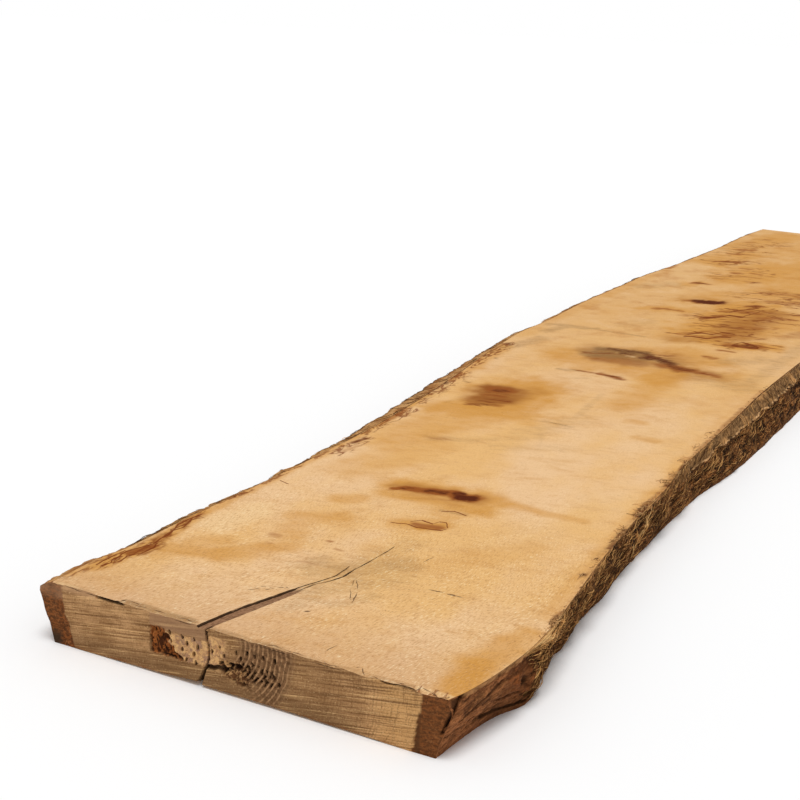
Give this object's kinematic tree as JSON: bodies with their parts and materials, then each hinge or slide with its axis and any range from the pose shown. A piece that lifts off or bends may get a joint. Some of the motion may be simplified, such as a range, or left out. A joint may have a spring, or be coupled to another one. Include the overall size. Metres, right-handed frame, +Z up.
{
  "type": "live edge board",
  "caption": "Sawn oak board with the bark left on both live edges, a drying crack and decay in the near end; it lies flat on its sawn underside.",
  "frame": {"origin": "on the sawn underside, under the middle of the board's length and width", "axes": "+Y along the board from its near end, which has the crack and the decay, to its far end; +Z up out of the sawn top; +X across the board to the right as seen from the near end"},
  "size_m": [0.4556, 2.505, 0.0559],
  "materials": {
    "sawn_oak": "matte",
    "oak_bark": "matte"
  },
  "bodies": {
    "root": {"oak_board": "sawn_oak"}
  },
  "joints": []
}
